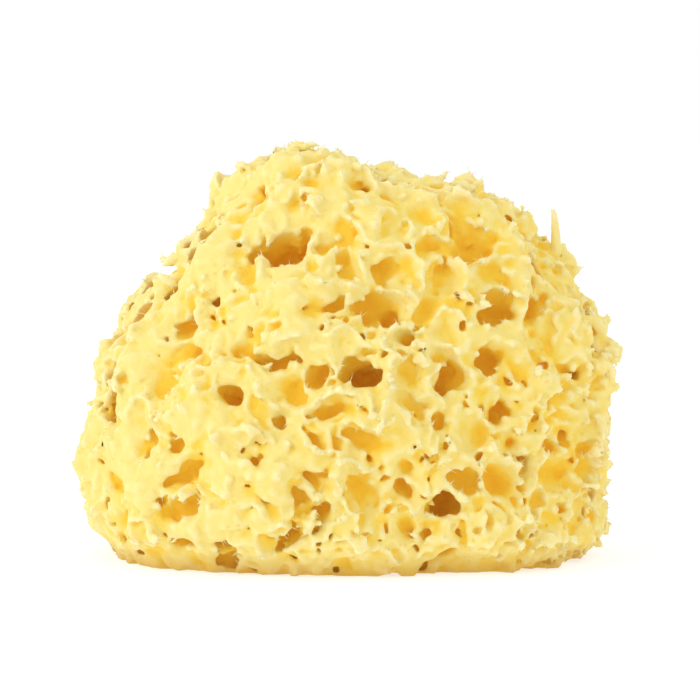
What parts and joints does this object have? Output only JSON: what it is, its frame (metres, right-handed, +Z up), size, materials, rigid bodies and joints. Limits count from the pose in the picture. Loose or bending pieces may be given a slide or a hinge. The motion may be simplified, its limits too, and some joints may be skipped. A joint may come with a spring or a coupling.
{
  "type": "sea sponge",
  "caption": "Natural bath sponge: one lumpy, pitted dome of soft yellow fibre, cut off flat at the base so that it stands.",
  "frame": {"origin": "centre of the bounding box's bottom face, on the flat cut base", "axes": "+Z up from the base, +X to the right across the widest way, -Y towards the front"},
  "size_m": [0.1393, 0.1208, 0.1083],
  "materials": {
    "sponge": "matte, soft and porous, pale yellow outside and amber deep in the pits"
  },
  "bodies": {
    "root": {"sponge": "sponge"}
  },
  "joints": []
}
